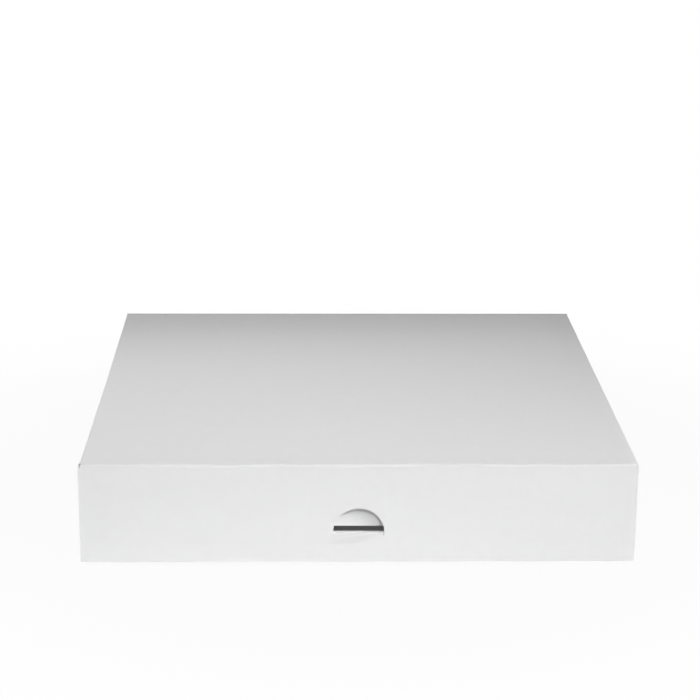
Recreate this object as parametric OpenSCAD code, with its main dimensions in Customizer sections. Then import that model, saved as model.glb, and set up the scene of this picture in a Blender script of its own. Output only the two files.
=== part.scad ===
// Lunch tray box: one white board blank folded into a tray with a hinged lid.
// The front flap hangs outside the tray and carries a half-moon push-in lock.
// Origin: middle of the underside. +X to the right, the front faces -Y, +Z up.

/* [Box] */
// Outside width, across the two side walls
box_w = 310; // [220:5:420]
// Outside depth, from the face of the front flap to the back wall
box_d = 310; // [220:5:420]
// Outside height with the lid closed
box_h = 58.5; // [45:0.5:90]

/* [Board] */
// Thickness of the corrugated board
board_t = 1.5; // [1:0.1:2]
// Inside radius of every crease
crease_r = 0.2; // [0.1:0.05:0.4]

/* [Lid] */
// How far the lid's left edge stays inside the left wall, at the front crease
lid_inset_left = 1.7; // [0.4:0.1:3]
// How far the lid's left edge stays inside the left wall, at the rear crease
lid_inset_rear = 0.3; // [0.1:0.1:3]
// How far the lid's right edge stays inside the right wall
lid_inset_right = 0.5; // [0.4:0.1:3]
// Height of the slanted cut at each end of the front crease
corner_cut_h = 4; // [2:0.5:8]
// Gap between the front flap's lower edge and the table
flap_foot = 0.8; // [0.3:0.1:3]
// Radius of the front flap's lower corners
flap_corner_r = 1.2; // [0.5:0.1:6]

/* [Half-moon lock] */
// Radius of the half-moon cut in the front flap
moon_r = 14.3; // [10:0.1:16]
// Height of the half-moon's straight crease above the table
moon_z = 18.4; // [18:0.2:28]
// Sideways place of the half-moon, from the middle of the box
moon_x = 0.1; // [-60:0.1:60]
// Width of the knife cut around the tab
tab_cut = 0.4; // [0.2:0.1:1]
// Gap on each side of the tab, which is folded down behind the flap
tab_gap = 0.3; // [0.2:0.05:1]
// How far the lip under the half-moon is pushed out
lip_bulge = 0.6; // [0.2:0.1:1.2]
// Radius of the pushed-out spot
lip_bulge_r = 5; // [3:0.5:7]
// Sideways place of the pushed-out spot, from the middle of the half-moon
lip_bulge_x = -5; // [-8:0.5:8]
// Width of the lock slot in the front wall
slot_w = 32; // [22:0.5:50]
// Height of the lock slot
slot_h = 3.4; // [2:0.1:6]
// How far the slot's upper edge stands above the half-moon's crease
slot_rise = 2.5; // [1.5:0.1:5]

/* [Walls] */
// How far the front wall stays below the lid
front_wall_drop = 0.5; // [0.2:0.1:3]
// Gap between a rolled side wall and the front or back wall
corner_gap = 1.2; // [0.5:0.1:3]
// Gap between the neighbouring board layers of a rolled side wall
layer_gap = 0.1; // [0.05:0.05:0.4]
// Length of the corner flaps that lie inside the rolled side walls
corner_flap_l = 62; // [20:1:100]
// How much a corner flap narrows towards its end, above and below
corner_flap_taper = 7; // [2:0.5:12]
// Radius of a corner flap's free corners
corner_flap_r = 8; // [2:0.5:12]
// Gap above and below a corner flap
corner_flap_gap = 0.3; // [0.1:0.1:1]

/* [Locking tabs] */
// Number of tabs that pin each rolled side wall to the floor
lock_count = 2; // [1:1:4]
// Length of each tab along the wall
lock_l = 38; // [15:1:50]
// Distance between neighbouring tabs, middle to middle
lock_pitch = 150; // [60:5:160]
// Gap between a tab and the edges of its slot
lock_gap = 0.4; // [0.2:0.1:1]
// How far the tabs stay above the underside
lock_short = 0.2; // [0.1:0.1:1]

/* [Hidden] */
$fn = 64;
cut = 1;

// The outside radius of a crease
fold_r = board_t + crease_r;
// The flap stands off the front wall by the tab folded behind it
flap_gap = board_t + 2 * tab_gap;
// Faces, front to back
side_x = box_w / 2;
flap_y = -(box_d + lip_bulge) / 2 + lip_bulge;
wall_y = flap_y + board_t + flap_gap;
back_y = (box_d + lip_bulge) / 2;
// Heights
rim_z = box_h - board_t;
front_top_z = rim_z - front_wall_drop;
// The front and back walls fit between the outer layers of the side walls
wall_end_x = side_x - board_t - layer_gap;
// A rolled side wall has an outer layer, a corner flap and an inner layer
corner_flap_x = wall_end_x - board_t;
inner_x = corner_flap_x - layer_gap - board_t;
// Outside radius of the fold that turns the tab down behind the flap
lip_r = board_t + tab_gap / 2;
white = "whitesmoke";

// One bent corner of board in a section, in the quadrant given by two signs
module bend(x, y, sx, sy) {
    translate([x, y])
        scale([sx, sy])
            intersection() {
                difference() {
                    circle(r = fold_r);
                    circle(r = crease_r);
                }
                square(fold_r + cut);
            }
}

// A rectangle of board in a section, from one corner to the opposite one
module run(x0, y0, x1, y1) {
    translate([x0, y0])
        square([x1 - x0, y1 - y0]);
}

// Turns a section drawn as depth and height into a solid along X
module along_x(x0, x1) {
    translate([x0, 0, 0])
        rotate([90, 0, 90])
            linear_extrude(height = x1 - x0)
                children();
}

// Turns an outline drawn as width and height into a solid along Y
module along_y(y0, y1) {
    translate([0, y1, 0])
        rotate([90, 0, 0])
            linear_extrude(height = y1 - y0)
                children();
}

// Repeats its children on the left
module both_sides() {
    children();
    mirror([1, 0, 0])
        children();
}

// The floor with the creases that turn up into the front and back walls
module floor_section() {
    bend(wall_y + fold_r, fold_r, -1, -1);
    run(wall_y + fold_r, 0, back_y - fold_r, board_t);
    bend(back_y - fold_r, fold_r, 1, -1);
}

// The front and back walls, above their creases
module end_walls_section() {
    run(wall_y, fold_r, wall_y + board_t, front_top_z);
    run(back_y - board_t, fold_r, back_y, rim_z);
}

// The outer layer of a side wall, with its crease at the floor
module outer_layer_section(top) {
    bend(side_x - fold_r, fold_r, 1, -1);
    run(side_x - board_t, fold_r, side_x, top);
}

// The part of a side wall that rolls over the top and back down to the floor
module roll_section() {
    bend(side_x - fold_r, rim_z - fold_r, 1, 1);
    run(inner_x + fold_r, rim_z - board_t, side_x - fold_r, rim_z);
    bend(inner_x + fold_r, rim_z - fold_r, -1, 1);
    run(inner_x, board_t, inner_x + board_t, rim_z - fold_r);
}

// Outline of a corner flap, from its crease (at zero) to its rounded free end
module corner_flap_outline() {
    low = board_t + corner_flap_gap;
    high = rim_z - board_t - corner_flap_gap;
    tip = corner_flap_l - corner_flap_r;
    hull() {
        run(0, low, corner_flap_l / 2, high);
        translate([tip, low + corner_flap_taper + corner_flap_r])
            circle(r = corner_flap_r);
        translate([tip, high - corner_flap_taper - corner_flap_r])
            circle(r = corner_flap_r);
    }
}

// The crease at the end of the front wall, and its flap inside the side wall
module corner_flap(top) {
    translate([0, 0, board_t + corner_flap_gap])
        linear_extrude(height = top - board_t - corner_flap_gap)
            bend(wall_end_x - fold_r, wall_y + fold_r, 1, -1);
    translate([corner_flap_x, wall_y + fold_r, 0])
        rotate([90, 0, 90])
            linear_extrude(height = board_t)
                corner_flap_outline();
}

// Middle of each locking tab along the wall
function lock_y(i) = (wall_y + back_y) / 2 + (i - (lock_count - 1) / 2) * lock_pitch;

// One side wall: outer layer, rolled layer and the corner flaps in its hollow
module side_wall() {
    roll_y0 = wall_y + board_t + corner_gap;
    roll_y1 = back_y - board_t - corner_gap;
    along_y(wall_y, roll_y0)
        outer_layer_section(rim_z);
    along_y(roll_y0, roll_y1) {
        outer_layer_section(rim_z - fold_r);
        roll_section();
    }
    along_y(roll_y1, back_y)
        outer_layer_section(rim_z);
    corner_flap(front_top_z);
    translate([0, wall_y + back_y, 0])
        mirror([0, 1, 0])
            corner_flap(rim_z);
}

// The slots in the floor that take the locking tabs of one side wall
module lock_slots() {
    for (i = [0 : lock_count - 1])
        translate([inner_x - lock_gap, lock_y(i) - lock_l / 2 - lock_gap, -cut])
            cube([board_t + 2 * lock_gap, lock_l + 2 * lock_gap, cut + board_t]);
}

// The locking tabs at the foot of one rolled layer
module lock_tabs() {
    for (i = [0 : lock_count - 1])
        translate([inner_x, lock_y(i) - lock_l / 2, lock_short])
            cube([board_t, lock_l, board_t + cut - lock_short]);
}

// Slot in the front wall for the half-moon tab, with round ends
module lock_slot() {
    end_x = slot_w / 2 - slot_h / 2;
    along_y(wall_y - cut, wall_y + board_t + cut)
        translate([moon_x, moon_z + slot_rise - slot_h / 2]) {
            run(-end_x, -slot_h / 2, end_x, slot_h / 2);
            translate([-end_x, 0])
                circle(r = slot_h / 2);
            translate([end_x, 0])
                circle(r = slot_h / 2);
        }
}

module base_tray() {
    color(white) {
        difference() {
            union() {
                along_x(-(side_x - fold_r), side_x - fold_r)
                    floor_section();
                along_x(-(wall_end_x - fold_r), wall_end_x - fold_r)
                    end_walls_section();
                both_sides()
                    side_wall();
            }
            both_sides()
                lock_slots();
            lock_slot();
        }
        both_sides()
            lock_tabs();
    }
}

// Outline of the front flap: slanted at the crease, rounded at the foot
module flap_outline() {
    left = -side_x;
    right = side_x;
    polygon([
        [left, flap_foot + flap_corner_r],
        [left + flap_corner_r, flap_foot + flap_corner_r],
        [left + flap_corner_r, flap_foot],
        [right - flap_corner_r, flap_foot],
        [right - flap_corner_r, flap_foot + flap_corner_r],
        [right, flap_foot + flap_corner_r],
        [right, box_h - corner_cut_h],
        [right - lid_inset_right, box_h],
        [left + lid_inset_left, box_h],
        [left, box_h - corner_cut_h]]);
    for (x = [left + flap_corner_r, right - flap_corner_r])
        translate([x, flap_foot + flap_corner_r])
            circle(r = flap_corner_r);
}

// The front crease and the flap below it
module front_flap() {
    intersection() {
        along_x(-side_x, side_x) {
            bend(flap_y + fold_r, box_h - fold_r, -1, 1);
            run(flap_y, 0, flap_y + board_t, box_h - fold_r);
        }
        along_y(flap_y - cut, flap_y + fold_r)
            flap_outline();
    }
}

// Outline of the top panel from above: its left edge runs in towards the front
module panel_outline() {
    polygon([
        [-side_x + lid_inset_left, flap_y + fold_r],
        [side_x - lid_inset_right, flap_y + fold_r],
        [side_x - lid_inset_right, back_y],
        [-side_x + lid_inset_rear, back_y]]);
}

// The top panel, rounded over the crease at the back wall
module top_panel() {
    intersection() {
        along_x(-side_x, side_x) {
            run(flap_y + fold_r, rim_z, back_y - fold_r, box_h);
            intersection() {
                translate([back_y - fold_r, box_h - fold_r])
                    circle(r = fold_r);
                run(back_y - fold_r, rim_z, back_y, box_h);
            }
        }
        translate([0, 0, rim_z - cut])
            linear_extrude(height = board_t + 2 * cut)
                panel_outline();
    }
}

// Everything of a flat outline inside the half-moon's full circle
module moon_column(r, y0, y1, z0, z1) {
    intersection() {
        along_y(y0, y1)
            translate([moon_x, moon_z])
                circle(r = r);
        translate([moon_x - r, y0, z0])
            cube([2 * r, y1 - y0, z1 - z0]);
    }
}

// The half-moon opening, cut down to where the lip starts to curl back
module moon_cut() {
    moon_column(moon_r, flap_y - lip_bulge - cut, flap_y + board_t + cut, moon_z - lip_r, moon_z + moon_r);
}

// The tab: curled back over the lip and hanging behind the flap
module moon_tab() {
    tab_y = flap_y + board_t + tab_gap;
    intersection() {
        along_x(moon_x - moon_r, moon_x + moon_r) {
            translate([flap_y + lip_r, moon_z - lip_r])
                intersection() {
                    difference() {
                        circle(r = lip_r);
                        circle(r = tab_gap / 2);
                    }
                    run(-lip_r, 0, lip_r, lip_r);
                }
            run(flap_y, moon_z - lip_r - board_t, flap_y + board_t, moon_z - lip_r);
            run(tab_y, moon_z - moon_r, tab_y + board_t, moon_z - lip_r);
        }
        along_y(flap_y - cut, wall_y)
            translate([moon_x, moon_z])
                circle(r = moon_r - tab_cut);
    }
}

// The spot of the lip that the folded tab pushes outwards, a shallow cap
module bulge() {
    ball_r = (pow(lip_bulge_r, 2) + pow(lip_bulge, 2)) / (2 * lip_bulge);
    lip_drop = lip_bulge_r / 2;
    translate([moon_x + lip_bulge_x, flap_y, moon_z - lip_r - lip_drop])
        rotate([90, 0, 0])
            intersection() {
                rotate_extrude()
                    intersection() {
                        translate([0, lip_bulge - ball_r])
                            circle(r = ball_r);
                        run(0, -board_t / 2, lip_bulge_r, lip_bulge);
                    }
                translate([-lip_bulge_r, -lip_bulge_r, -board_t])
                    cube([2 * lip_bulge_r, lip_bulge_r + lip_drop, board_t + lip_bulge]);
            }
}

module lid() {
    color(white) {
        top_panel();
        difference() {
            front_flap();
            moon_cut();
        }
        moon_tab();
        bulge();
    }
}

base_tray();
lid();
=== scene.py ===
import math

import bmesh
import bpy
from mathutils import Matrix, Vector


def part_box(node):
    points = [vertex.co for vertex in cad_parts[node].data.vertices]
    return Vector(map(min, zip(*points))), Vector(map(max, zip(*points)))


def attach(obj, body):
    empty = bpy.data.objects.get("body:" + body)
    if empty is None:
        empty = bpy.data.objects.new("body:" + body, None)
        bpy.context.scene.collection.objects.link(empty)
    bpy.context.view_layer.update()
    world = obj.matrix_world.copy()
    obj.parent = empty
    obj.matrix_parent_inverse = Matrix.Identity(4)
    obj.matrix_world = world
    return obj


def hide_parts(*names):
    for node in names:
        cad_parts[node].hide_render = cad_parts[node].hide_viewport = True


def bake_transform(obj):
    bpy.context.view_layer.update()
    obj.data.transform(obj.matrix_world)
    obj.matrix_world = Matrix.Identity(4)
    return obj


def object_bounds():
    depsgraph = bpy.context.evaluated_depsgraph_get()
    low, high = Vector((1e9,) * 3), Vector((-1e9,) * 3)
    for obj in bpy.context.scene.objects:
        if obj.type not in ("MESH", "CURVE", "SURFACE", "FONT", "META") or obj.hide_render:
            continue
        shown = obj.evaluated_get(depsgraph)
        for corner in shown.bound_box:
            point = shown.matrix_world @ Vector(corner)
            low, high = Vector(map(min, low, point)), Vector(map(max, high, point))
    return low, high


bl_info = {
    "name": "Lunch Tray Box",
    "version": (1, 0, 0),
    "blender": (4, 5, 0),
    "location": "View3D > Sidebar > Tray Box",
    "description": "Folded white board tray box with a hinged lid and a half-moon lock",
    "category": "Object",
}

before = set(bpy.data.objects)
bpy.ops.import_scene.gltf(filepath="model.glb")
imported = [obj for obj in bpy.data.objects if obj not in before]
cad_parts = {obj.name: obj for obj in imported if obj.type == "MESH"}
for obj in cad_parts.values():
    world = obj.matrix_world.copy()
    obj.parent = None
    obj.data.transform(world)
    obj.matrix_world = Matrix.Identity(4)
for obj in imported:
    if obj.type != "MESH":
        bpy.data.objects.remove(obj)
CAD_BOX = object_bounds()

MM = 0.001
PHOTO_PX = 700
MERGE = 0.002 * MM  # corners of loose triangles closer than this are one
ON_PLANE = MM / 1000  # a corner closer than this to a cutting plane lies on it
LIP_BULGE = 0.6 * MM  # how far the CAD's spot under the half-moon stands out of the flap
CREASE_FACE = 1 * MM  # the round faces of a crease are narrower than this
SAME_BEND = 0.7  # the least cosine between neighbouring faces of one bend
WHOLE_FACE = 100  # weight at which the largest face alone sets a corner's shading
CREST = 0.25  # turn of the flute at which the medium lies against a liner
THIN = MM / 100  # least width of a cut face, so that nothing is divided by zero

# Each lamp's name, place, target, width and height, watts, and spread in degrees.
LAMPS = (
    # Key from the upper right and a narrow beam from the front: their edges fall off
    # towards the back of the lid.
    ("key_right", (0.704, -0.545, 0.507), (0, -0.188, 0.04), (0.48, 0.63), 0.712, 37),
    ("front_beam", (0.139, -1.170, 1.039), (0.002, -0.152, 0.126), (0.45, 0.29), 0.142, 6.2),
    # Low strips for the upright walls. The left one is higher, for the lid's left edge.
    ("front_strip", (0.15, -1.3, 0.03), (0, 0, 0.03), (0.9, 0.05), 1.37, 180),
    ("left_strip", (-1.1, 0, 0.09), (0, 0, 0.05), (0.9, 0.05), 4.6, 180),
    ("right_strip", (1.1, 0, 0.028), (0, 0, 0.028), (0.9, 0.05), 2.5, 180),
    ("rear_strip", (0, 1.3, 0.028), (0, 0, 0.028), (0.9, 0.05), 6.5, 180),
    # It reaches only the space behind the box, where the open lid lies.
    ("behind_the_box", (0, 0.36, 0.9), (0, 0.3601, 0), (0.5, 0.3), 0.3, 9),
    # White board lets a little daylight through, so the slot looks grey, not black.
    ("through_the_board", (0, 0, 0.054), (0, 0, 0), (0.2, 0.2), 0.0115, 180),
)


def linear(hex_colour):
    """An sRGB hex colour as linear red, green, blue and alpha."""
    channels = [int(hex_colour[i : i + 2], 16) / 255 for i in (1, 3, 5)]
    lin = [c / 12.92 if c <= 0.04045 else ((c + 0.055) / 1.055) ** 2.4 for c in channels]
    return (*lin, 1.0)


def add_node(tree, kind, settings=None, inputs=None):
    """Adds a shader node, sets its properties, and fills or links its sockets."""
    node = tree.nodes.new(kind)
    for name, value in (settings or {}).items():
        setattr(node, name, value)
    for name, value in (inputs or {}).items():
        if isinstance(value, bpy.types.NodeSocket):
            tree.links.new(value, node.inputs[name])
        else:
            node.inputs[name].default_value = value
    return node


class BoardSizes(bpy.types.PropertyGroup):
    """Sizes of the folded board that the finished pieces need."""

    board_t: bpy.props.FloatProperty(
        name="Board", description="Thickness of the board", default=1.5 * MM, unit="LENGTH",
        precision=5,
    )
    fold_r: bpy.props.FloatProperty(
        name="Fold radius", description="Outside radius of a crease", default=1.7 * MM,
        unit="LENGTH", precision=5,
    )
    crease_depth: bpy.props.FloatProperty(
        name="Rear crease", description="Depth of the strip of board that bends at the rear crease",
        default=2.5 * MM, unit="LENGTH", precision=5,
    )
    lip_x: bpy.props.FloatProperty(
        name="Swell across", description="Sideways place of the swell under the half-moon",
        default=-2 * MM, unit="LENGTH", precision=5,
    )
    lip_half_width: bpy.props.FloatProperty(
        name="Swell half width", description="How far the swell reaches to each side",
        default=15 * MM, unit="LENGTH", precision=5,
    )
    lip_drop: bpy.props.FloatProperty(
        name="Swell drop", description="How far the swell reaches down the flap", default=6.5 * MM,
        unit="LENGTH", precision=5,
    )


class BoardFinish(bpy.types.PropertyGroup):
    """Colours and surface of the board."""

    liner_hex: bpy.props.StringProperty(
        name="Liner", description="Colour of the white liner", default="#EEEEEE"
    )
    edge_hex: bpy.props.StringProperty(
        name="Cut edge", description="Colour of the liners and flutes in a cut edge",
        default="#DADADA",
    )
    # Partly the crushed liner of a crease, partly painted shade that tones down the highlight on
    # the folds.
    crease_shade_hex: bpy.props.StringProperty(
        name="Crease", description="Colour of the liner where a crease is crushed",
        default="#D8D8D8",
    )
    flute_hollow_shade_hex: bpy.props.StringProperty(
        name="Flute hollow", description="Colour of the shaded hollows between the flutes",
        default="#A9A9A9",
    )
    liner_roughness: bpy.props.FloatProperty(
        name="Liner roughness", description="How matt the calendered liner is", default=0.58, min=0,
        max=1,
    )
    flute_pitch: bpy.props.FloatProperty(
        name="Flute pitch", description="Distance between flutes of the board", default=3.2 * MM,
        unit="LENGTH", precision=5,
    )


class StageSettings(bpy.types.PropertyGroup):
    """Camera and floor."""

    camera_at: bpy.props.FloatVectorProperty(
        name="Camera", description="Place of the camera", default=(-0.0290, -1.1601, 0.4270),
        unit="LENGTH",
    )
    look_down: bpy.props.FloatProperty(
        name="Look down", description="Tilt of the camera below level",
        default=math.radians(16.736), unit="ROTATION",
    )
    look_right: bpy.props.FloatProperty(
        name="Look right", description="Turn of the camera to the right",
        default=math.radians(1.343), unit="ROTATION",
    )
    roll: bpy.props.FloatProperty(
        name="Roll", description="Roll of the camera", default=math.radians(0.394), unit="ROTATION"
    )
    focal_px: bpy.props.FloatProperty(
        name="Focal length", description="Focal length in pixels of the photograph", default=1937.6,
        min=100,
    )
    floor_hex: bpy.props.StringProperty(
        name="Floor", description="Colour of the floor in the light that it throws back",
        default="#B3B3B3",
    )


def white_liner(finish):
    """White-lined board as it leaves the calender: matt, with a weak broad sheen."""
    material = bpy.data.materials.new("calendered_white_liner")
    material.use_nodes = True
    tree = material.node_tree
    shader = tree.nodes["Principled BSDF"]
    shader.inputs["Roughness"].default_value = finish.liner_roughness
    shader.inputs["IOR"].default_value = 1.5
    place = add_node(tree, "ShaderNodeTexCoord")
    # Paper formation: fibre clumps about 6 mm across that vary the white by about 1 %.
    cloud = add_node(
        tree, "ShaderNodeTexNoise",
        inputs={
            "Vector": place.outputs["Object"], "Scale": 160.0, "Detail": 4.0, "Roughness": 0.55
        },
    )
    # Single fibres are 0.03 mm wide; they are drawn 0.4 mm wide, the finest that still shows.
    fibre = add_node(
        tree, "ShaderNodeTexNoise",
        inputs={
            "Vector": place.outputs["Object"], "Scale": 2500.0, "Detail": 2.0, "Roughness": 0.6
        },
    )
    blend = add_node(
        tree, "ShaderNodeMath", {"operation": "ADD"},
        {0: cloud.outputs["Fac"], 1: fibre.outputs["Fac"]},
    )
    pale = linear(finish.liner_hex)
    tone = add_node(
        tree, "ShaderNodeMapRange",
        inputs={
            "Value": blend.outputs[0], "From Min": 0.6, "From Max": 1.4, "To Min": 0.985,
            "To Max": 1.015,
        },
    )
    paint = add_node(
        tree, "ShaderNodeMix", {"data_type": "RGBA", "blend_type": "MULTIPLY"},
        {"Factor": 1.0, 6: pale, 7: tone.outputs[0]},
    )
    # A crease is crushed before it is folded, which greys the liner there a little; most of this
    # grey is painted shade that tones down the highlight on the fold.
    crease = add_node(tree, "ShaderNodeAttribute", {"attribute_name": "crease"})
    crushed = add_node(
        tree, "ShaderNodeMix", {"data_type": "RGBA"},
        {"Factor": crease.outputs["Fac"], 6: paint.outputs[2], 7: linear(finish.crease_shade_hex)},
    )
    tree.links.new(crushed.outputs[2], shader.inputs["Base Color"])
    # The liner sinks by some thousandths of a millimetre between the flutes, which run
    # across the box: the ripple follows Y, and Z on the walls that stand along X.
    axes = add_node(tree, "ShaderNodeSeparateXYZ", inputs={0: place.outputs["Object"]})
    facing = add_node(tree, "ShaderNodeSeparateXYZ", inputs={0: place.outputs["Normal"]})
    sideways = add_node(tree, "ShaderNodeMath", {"operation": "ABSOLUTE"}, {0: facing.outputs[0]})
    upright = add_node(
        tree, "ShaderNodeMath", {"operation": "LESS_THAN"}, {0: sideways.outputs[0], 1: 0.5}
    )
    rise = add_node(
        tree, "ShaderNodeMath", {"operation": "MULTIPLY"},
        {0: axes.outputs[2], 1: upright.outputs[0]},
    )
    along = add_node(
        tree, "ShaderNodeMath", {"operation": "ADD"}, {0: axes.outputs[1], 1: rise.outputs[0]}
    )
    turns = add_node(
        tree, "ShaderNodeMath", {"operation": "MULTIPLY"},
        {0: along.outputs[0], 1: 2 * math.pi / finish.flute_pitch},
    )
    ripple = add_node(tree, "ShaderNodeMath", {"operation": "SINE"}, {0: turns.outputs[0]})
    grain = add_node(
        tree, "ShaderNodeBump",
        inputs={"Strength": 0.5, "Distance": 0.010 * MM, "Height": fibre.outputs["Fac"]},
    )
    washboard = add_node(
        tree, "ShaderNodeBump",
        inputs={
            "Strength": 0.5, "Distance": 0.004 * MM, "Height": ripple.outputs[0],
            "Normal": grain.outputs[0],
        },
    )
    tree.links.new(washboard.outputs[0], shader.inputs["Normal"])
    return material


def cut_edge(finish):
    """Die-cut edge of fluted board: two liners with the waved medium between them."""
    material = bpy.data.materials.new("die_cut_fluted_edge")
    material.use_nodes = True
    tree = material.node_tree
    shader = tree.nodes["Principled BSDF"]
    shader.inputs["Roughness"].default_value = 0.85
    shader.inputs["IOR"].default_value = 1.5
    uv = add_node(tree, "ShaderNodeUVMap", {"uv_map": "edge"})
    axes = add_node(tree, "ShaderNodeSeparateXYZ", inputs={0: uv.outputs[0]})
    # Along the edge in turns of the flute, across it from liner (0) to liner (1).
    turns = add_node(
        tree, "ShaderNodeMath", {"operation": "MULTIPLY"}, {0: axes.outputs[0], 1: 2 * math.pi}
    )
    sine = add_node(tree, "ShaderNodeMath", {"operation": "SINE"}, {0: turns.outputs[0]})
    medium = add_node(
        tree, "ShaderNodeMath", {"operation": "MULTIPLY_ADD"}, {0: sine.outputs[0], 1: 0.34, 2: 0.5}
    )
    off = add_node(
        tree, "ShaderNodeMath", {"operation": "SUBTRACT"},
        {0: axes.outputs[1], 1: medium.outputs[0]},
    )
    off = add_node(tree, "ShaderNodeMath", {"operation": "ABSOLUTE"}, {0: off.outputs[0]})
    middle = add_node(
        tree, "ShaderNodeMath", {"operation": "SUBTRACT"}, {0: axes.outputs[1], 1: 0.5}
    )
    middle = add_node(tree, "ShaderNodeMath", {"operation": "ABSOLUTE"}, {0: middle.outputs[0]})
    to_liner = add_node(
        tree, "ShaderNodeMath", {"operation": "SUBTRACT"}, {0: 0.5, 1: middle.outputs[0]}
    )
    near = add_node(
        tree, "ShaderNodeMath", {"operation": "MINIMUM"},
        {0: off.outputs[0], 1: to_liner.outputs[0]},
    )
    # Paper shows up to a tenth of the board's thickness from the medium and from each face.
    hollow = add_node(
        tree, "ShaderNodeMapRange", {"interpolation_type": "SMOOTHSTEP"},
        {
            "Value": near.outputs[0], "From Min": 0.09, "From Max": 0.17, "To Min": 0.0,
            "To Max": 1.0,
        },
    )
    place = add_node(tree, "ShaderNodeTexCoord")
    # The knife leaves torn fibres about 0.3 mm long.
    torn = add_node(
        tree, "ShaderNodeTexNoise",
        inputs={"Vector": place.outputs["Object"], "Scale": 3300.0, "Detail": 2.0},
    )
    # The hollows between the flutes are open gaps in a real edge; on this flat face their shade is
    # painted.
    paint = add_node(
        tree, "ShaderNodeMix", {"data_type": "RGBA"},
        {"Factor": hollow.outputs[0], 6: linear(finish.edge_hex), 7: linear(finish.flute_hollow_shade_hex)},
    )
    tree.links.new(paint.outputs[2], shader.inputs["Base Color"])
    rough = add_node(
        tree, "ShaderNodeBump",
        inputs={"Strength": 0.6, "Distance": 0.03 * MM, "Height": torn.outputs["Fac"]},
    )
    tree.links.new(rough.outputs[0], shader.inputs["Normal"])
    return material


def board_materials(scene):
    """The liner and the cut edge, made once and shared by every piece."""
    names = ("calendered_white_liner", "die_cut_fluted_edge")
    if names[0] not in bpy.data.materials:
        white_liner(scene.traybox_finish)
        cut_edge(scene.traybox_finish)
    return [bpy.data.materials[name] for name in names]


def merged_copy(node):
    """A CAD node's mesh with its loose triangles joined."""
    bm = bmesh.new()
    bm.from_mesh(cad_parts[node].data)
    bmesh.ops.remove_doubles(bm, verts=bm.verts, dist=MERGE)
    return bm


def flat_faces(bm):
    """Joins the coplanar triangles into whole faces."""
    bmesh.ops.dissolve_degenerate(bm, edges=bm.edges, dist=MERGE)
    bmesh.ops.dissolve_limit(
        bm, angle_limit=math.radians(0.4), use_dissolve_boundaries=False, verts=bm.verts,
        edges=bm.edges,
    )


def sharp_edges(bm):
    """The edges where a knife cut meets a face of the board."""
    return [
        e for e in bm.edges if len(e.link_faces) == 2 and e.calc_face_angle(0) > math.radians(60)
    ]


def mark_cut_faces(bm, board_t, flute_pitch):
    """Gives the board's cut edges the second material, and a map along and across them."""
    layer = bm.loops.layers.uv.new("edge")
    sharp = set(sharp_edges(bm))
    for face in bm.faces:
        knife = [e for e in face.edges if e in sharp]
        if not knife:
            continue
        # A cut face is no wider than the board, and most of its outline is the knife's.
        length = sum(e.calc_length() for e in knife)
        if length < 0.5 * face.calc_perimeter() or face.calc_area() > 1.1 * board_t * length / 2:
            continue
        face.material_index = 1
        longest = max(knife, key=lambda e: e.calc_length())
        run = (longest.verts[1].co - longest.verts[0].co).normalized()
        side = face.normal.cross(run)
        low = min(loop.vert.co.dot(side) for loop in face.loops)
        wide = max(max(loop.vert.co.dot(side) for loop in face.loops) - low, THIN)
        # The flutes run along X, so only a cut across X shows their wave.
        waves = 1 / flute_pitch if abs(face.normal.x) > 0.5 else 0.0
        start = 0.0 if waves else CREST
        for loop in face.loops:
            along, across = loop.vert.co.dot(run), loop.vert.co.dot(side) - low
            loop[layer].uv = (along * waves + start, across / wide)


def mark_crease_shade(bm):
    """Marks the narrow faces of the creases and of the swell, most at the middle of a bend, for the
    painted crease shade.
    """
    layer = bm.loops.layers.float.new("crease")
    for face in bm.faces:
        width = face.calc_area() / max(e.calc_length() for e in face.edges)
        if face.material_index == 1 or width > CREASE_FACE:
            continue
        for loop in face.loops:
            round_about = [
                f.normal for f in loop.vert.link_faces if f.normal.dot(face.normal) > SAME_BEND
            ]
            lean = sum(round_about, Vector()).normalized()
            # 1 in the middle of a square bend along the front or back, where the fold's highlight
            # is, and 0 on the bends of the side walls, which get no painted shade. The swell's
            # small faces get a part of it where they tilt.
            loop[layer] = 2 * abs(lean.y * lean.z)


def board_object(bm, name, scene):
    """Makes a board piece from a bmesh: round creases, and cut edges crisp from the knife."""
    bm.normal_update()
    mark_cut_faces(bm, scene.traybox_sizes.board_t, scene.traybox_finish.flute_pitch)
    mark_crease_shade(bm)
    mesh = bpy.data.meshes.new(name)
    for face in bm.faces:
        face.smooth = True
    bm.to_mesh(mesh)
    bm.free()
    mesh.set_sharp_from_angle(angle=math.radians(50))
    for material in board_materials(scene):
        mesh.materials.append(material)
    piece = bpy.data.objects.new(name, mesh)
    scene.collection.objects.link(piece)
    return piece


def even_shading(piece):
    """Keeps the large flat faces flat in the shading next to their creases."""
    modifier = piece.modifiers.new("even_shading", "WEIGHTED_NORMAL")
    modifier.keep_sharp = True
    modifier.weight = WHOLE_FACE


class TRAYBOX_OT_tray(bpy.types.Operator):
    """Makes the tray: floor, walls, rolled side walls, corner flaps and locking tabs"""

    bl_idname = "traybox.tray"
    bl_label = "Tray"

    def execute(self, context):
        bm = merged_copy("base_tray")
        flat_faces(bm)
        tray = board_object(bm, "tray_board", context.scene)
        even_shading(tray)
        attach(tray, "tray")
        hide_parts("base_tray")
        return {"FINISHED"}


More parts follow.
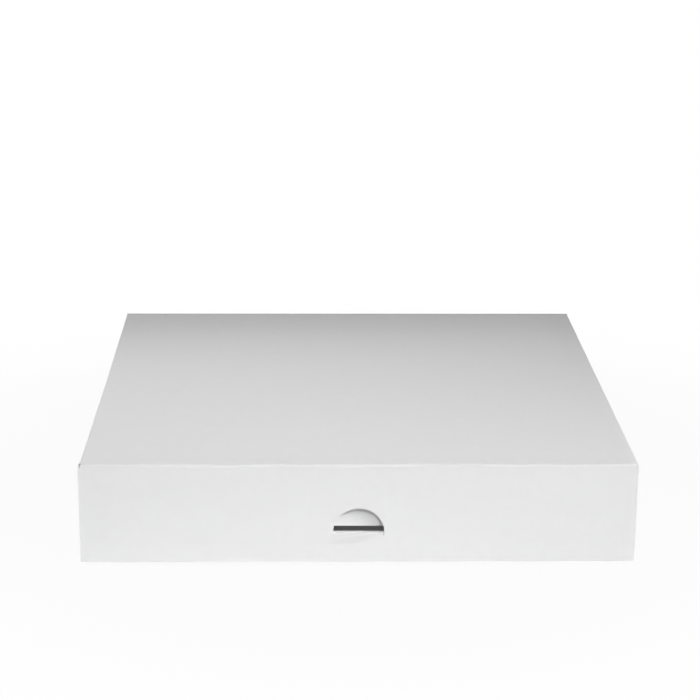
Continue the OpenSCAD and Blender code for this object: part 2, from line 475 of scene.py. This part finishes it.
class TRAYBOX_OT_lid(bpy.types.Operator):
    """Makes the lid: top panel, front flap, half-moon tab and the swell under it"""

    bl_idname = "traybox.lid"
    bl_label = "Lid"

    def execute(self, context):
        sizes = context.scene.traybox_sizes
        cut_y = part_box("lid")[1][1] - sizes.crease_depth
        face_y = CAD_BOX[0][1] + LIP_BULGE
        bm = merged_copy("lid")
        # The pushed-out spot is laid flat here, and the swell below takes its place.
        for vert in bm.verts:
            vert.co.y = max(vert.co.y, face_y)
        made = bmesh.ops.bisect_plane(
            bm, geom=bm.verts[:] + bm.edges[:] + bm.faces[:], dist=ON_PLANE,
            plane_co=(0, cut_y, 0), plane_no=(0, 1, 0), clear_outer=True,
        )
        rim = [e for e in made["geom_cut"] if isinstance(e, bmesh.types.BMEdge)]
        bmesh.ops.edgeloop_fill(bm, edges=rim)
        flat_faces(bm)
        self.swell(bm, sizes, face_y)
        lid = board_object(bm, "lid_board", context.scene)
        even_shading(lid)
        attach(lid, "lid")
        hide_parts("lid")
        return {"FINISHED"}

    def swell(self, bm, sizes, face_y):
        """The soft swell that the folded tab pushes into the flap below the half-moon."""
        lip_top = 18.4 * MM
        lip_r = 1.65 * MM
        lip_z = lip_top - lip_r
        height = 0.58 * MM
        sunk = 0.03 * MM  # its rim lies this far inside the flap
        depth = 0.4 * MM  # thickness of its skin
        peak = 0.8 * MM  # how far up the lip's bend it stands out most
        lean = 1.5  # how far it leans to the left for each step down
        squareness = 3  # 2 would make its outline an ellipse
        squares = 32
        up = lip_r * math.radians(80)  # its upper rim, round the lip's bend
        made = bmesh.ops.create_grid(bm, x_segments=squares, y_segments=squares, size=1)
        verts = made["verts"]
        for vert in verts:
            u, v = vert.co.x, vert.co.y
            x = sizes.lip_x + u * sizes.lip_half_width
            s = peak + (v * (up - peak) if v > 0 else v * (sizes.lip_drop + peak))
            x += lean * min(s, 0)
            r = min((abs(u) ** squareness + abs(v) ** squareness) ** (1 / squareness), 1)
            proud = (height + sunk) * math.cos(r * math.pi / 2) ** 2 - sunk
            if s < 0:
                vert.co = (x, face_y - proud, lip_z + s)
            else:
                turn = s / lip_r
                vert.co = (
                    x,
                    face_y + lip_r - (lip_r + proud) * math.cos(turn),
                    lip_z + (lip_r + proud) * math.sin(turn),
                )
        faces = {f for v in verts for f in v.link_faces}
        bmesh.ops.recalc_face_normals(bm, faces=list(faces))
        if sum(f.normal.y for f in faces) > 0:
            bmesh.ops.reverse_faces(bm, faces=list(faces))
        bmesh.ops.solidify(bm, geom=list(faces), thickness=depth)


class TRAYBOX_OT_rear_crease(bpy.types.Operator):
    """Makes the strip of board that bends between the back wall and the lid"""

    bl_idname = "traybox.rear_crease"
    bl_label = "Rear crease"

    def execute(self, context):
        sizes = context.scene.traybox_sizes
        _, back_y, top_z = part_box("lid")[1]
        under_z = top_z - sizes.board_t
        left, right = panel_reach()
        centre = Vector((left, back_y - sizes.fold_r, top_z - sizes.fold_r))
        bm = bmesh.new()
        start = math.asin((under_z - centre.z) / sizes.fold_r)
        bend_steps = 14
        first = bm.verts.new(centre + Vector((0, math.cos(start), math.sin(start))) * sizes.fold_r)
        bmesh.ops.spin(
            bm, geom=[first], cent=centre, axis=(1, 0, 0), angle=math.pi / 2 - start,
            steps=bend_steps, use_merge=False, use_duplicate=False, dvec=(0, 0, 0),
        )
        arc = sorted(bm.verts, key=lambda v: v.co.z)
        corner_top = bm.verts.new((left, back_y - sizes.crease_depth, top_z))
        corner_low = bm.verts.new((left, back_y - sizes.crease_depth, under_z))
        for edge in list(bm.edges):
            bm.edges.remove(edge)
        section = bm.faces.new([*arc, corner_top, corner_low])
        made = bmesh.ops.extrude_face_region(bm, geom=[section])
        bmesh.ops.translate(
            bm, vec=(right - left, 0, 0),
            verts=[v for v in made["geom"] if isinstance(v, bmesh.types.BMVert)],
        )
        bmesh.ops.recalc_face_normals(bm, faces=bm.faces)
        # The bend happens in a band across the corner; it is cut fine there.
        middle = centre + Vector((0, 1, 1)) * sizes.fold_r * math.sqrt(0.5)
        band = 0.4 * MM
        strips = 10
        for i in range(strips + 1):
            bmesh.ops.bisect_plane(
                bm, geom=bm.verts[:] + bm.edges[:] + bm.faces[:], dist=ON_PLANE,
                plane_co=middle + Vector((0, -1, 1)) * band * i / strips, plane_no=(0, -1, 1),
            )
        crease = board_object(bm, "rear_crease", context.scene)
        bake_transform(crease)
        return {"FINISHED"}


def panel_reach():
    """Left and right ends of the lid's top panel, read from its rear end."""
    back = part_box("lid")[1][1]
    xs = [v.co.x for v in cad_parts["lid"].data.vertices if v.co.y > back - 1 * MM]
    return min(xs), max(xs)


def area_lamp(name, place, target, size, power, spread):
    """Adds a soft rectangular lamp aimed at a point."""
    data = bpy.data.lights.new(name, "AREA")
    data.shape = "RECTANGLE"
    data.size, data.size_y = size
    data.energy = power
    data.spread = math.radians(spread)
    lamp = bpy.data.objects.new(name, data)
    lamp.location = place
    lamp.rotation_euler = (Vector(target) - Vector(place)).to_track_quat("-Z", "Y").to_euler()
    lamp.visible_camera = False
    bpy.context.collection.objects.link(lamp)


def seen_directly(tree):
    """Gives 1 for a ray from the camera, or one that a gloss or a clear piece passes on."""
    path = add_node(tree, "ShaderNodeLightPath")
    either = add_node(
        tree, "ShaderNodeMath", {"operation": "MAXIMUM"},
        {0: path.outputs["Is Camera Ray"], 1: path.outputs["Is Glossy Ray"]},
    )
    whole = add_node(
        tree, "ShaderNodeMath", {"operation": "MAXIMUM"},
        {0: either.outputs[0], 1: path.outputs["Is Transmission Ray"]},
    )
    return whole.outputs[0]


class TRAYBOX_OT_stage(bpy.types.Operator):
    """Adds the floor, the lamps, the white surroundings and the camera"""

    bl_idname = "traybox.stage"
    bl_label = "Stage"

    def execute(self, context):
        settings = context.scene.traybox_stage
        self.camera(context, settings)
        self.floor(settings)
        self.surroundings(context)
        for lamp in LAMPS:
            area_lamp(*lamp)
        return {"FINISHED"}

    def camera(self, context, settings):
        data = bpy.data.cameras.new("camera")
        data.sensor_width = 36
        data.lens = settings.focal_px / PHOTO_PX * data.sensor_width
        data.clip_end = 50
        camera = bpy.data.objects.new("camera", data)
        turn = (
            Matrix.Rotation(-settings.look_right, 4, "Z")
            @ Matrix.Rotation(math.pi / 2 - settings.look_down, 4, "X")
            @ Matrix.Rotation(settings.roll, 4, "Z")
        )
        camera.matrix_world = Matrix.Translation(settings.camera_at) @ turn
        context.collection.objects.link(camera)
        context.scene.camera = camera

    def floor(self, settings):
        half_side = 8
        bm = bmesh.new()
        bmesh.ops.create_grid(bm, x_segments=1, y_segments=1, size=half_side)
        mesh = bpy.data.meshes.new("floor")
        bm.to_mesh(mesh)
        bm.free()
        floor = bpy.data.objects.new("floor", mesh)
        bpy.context.collection.objects.link(floor)
        material = bpy.data.materials.new("white_floor")
        material.use_nodes = True
        tree = material.node_tree
        tree.nodes.clear()
        seen = seen_directly(tree)
        # Close to the box a part of the real light shows, and with it the box's shadow;
        # further out the floor turns to the plain white of the surroundings.
        box_edge, plain_from, near_white = 0.16, 0.42, 0.95
        place = add_node(tree, "ShaderNodeTexCoord")
        reach = add_node(
            tree, "ShaderNodeVectorMath", {"operation": "LENGTH"}, {0: place.outputs["Object"]}
        )
        far = add_node(
            tree, "ShaderNodeMapRange", {"interpolation_type": "SMOOTHSTEP"},
            {
                "Value": reach.outputs["Value"], "From Min": box_edge, "From Max": plain_from,
                "To Min": near_white, "To Max": 1.0,
            },
        )
        white = add_node(
            tree, "ShaderNodeMath", {"operation": "MULTIPLY"}, {0: seen, 1: far.outputs[0]}
        )
        glow = add_node(tree, "ShaderNodeEmission", inputs={"Strength": 1.0})
        paper = add_node(
            tree, "ShaderNodeBsdfDiffuse", inputs={"Color": linear(settings.floor_hex)}
        )
        mix = add_node(
            tree, "ShaderNodeMixShader",
            inputs={0: white.outputs[0], 1: paper.outputs[0], 2: glow.outputs[0]},
        )
        add_node(tree, "ShaderNodeOutputMaterial", inputs={"Surface": mix.outputs[0]})
        floor.data.materials.append(material)

    def surroundings(self, context):
        daylight = 0.196  # strength of the surroundings as a lamp
        world = bpy.data.worlds.new("white_room")
        context.scene.world = world
        world.use_nodes = True
        tree = world.node_tree
        tree.nodes.clear()
        white = add_node(
            tree, "ShaderNodeBackground", inputs={"Color": (1, 1, 1, 1), "Strength": 1.0}
        )
        lit = add_node(
            tree, "ShaderNodeBackground", inputs={"Color": (1, 1, 1, 1), "Strength": daylight}
        )
        mix = add_node(
            tree, "ShaderNodeMixShader",
            inputs={0: seen_directly(tree), 1: lit.outputs[0], 2: white.outputs[0]},
        )
        add_node(tree, "ShaderNodeOutputWorld", inputs={"Surface": mix.outputs[0]})


class TRAYBOX_PT_panel(bpy.types.Panel):
    """Lists the steps and settings of the tray box"""

    bl_idname = "TRAYBOX_PT_panel"
    bl_label = "Tray Box"
    bl_space_type = "VIEW_3D"
    bl_region_type = "UI"
    bl_category = "Tray Box"

    def draw(self, context):
        layout = self.layout
        for step in STEPS:
            layout.operator(f"traybox.{step}")
        scene = context.scene
        for group in (scene.traybox_sizes, scene.traybox_finish, scene.traybox_stage):
            for name in group.__annotations__:
                layout.prop(group, name)


STEPS = ("stage", "tray", "lid", "rear_crease")
CLASSES = (
    BoardSizes, BoardFinish, StageSettings,
    TRAYBOX_OT_stage, TRAYBOX_OT_tray, TRAYBOX_OT_lid, TRAYBOX_OT_rear_crease, TRAYBOX_PT_panel,
)


def register():
    for cls in CLASSES:
        bpy.utils.register_class(cls)
    bpy.types.Scene.traybox_sizes = bpy.props.PointerProperty(type=BoardSizes)
    bpy.types.Scene.traybox_finish = bpy.props.PointerProperty(type=BoardFinish)
    bpy.types.Scene.traybox_stage = bpy.props.PointerProperty(type=StageSettings)


def unregister():
    del bpy.types.Scene.traybox_stage
    del bpy.types.Scene.traybox_finish
    del bpy.types.Scene.traybox_sizes
    for cls in reversed(CLASSES):
        bpy.utils.unregister_class(cls)


def main():
    register()
    for step in STEPS:
        getattr(bpy.ops.traybox, step)()
    bpy.context.scene.view_settings.view_transform = "Standard"


if __name__ == "__main__":
    main()
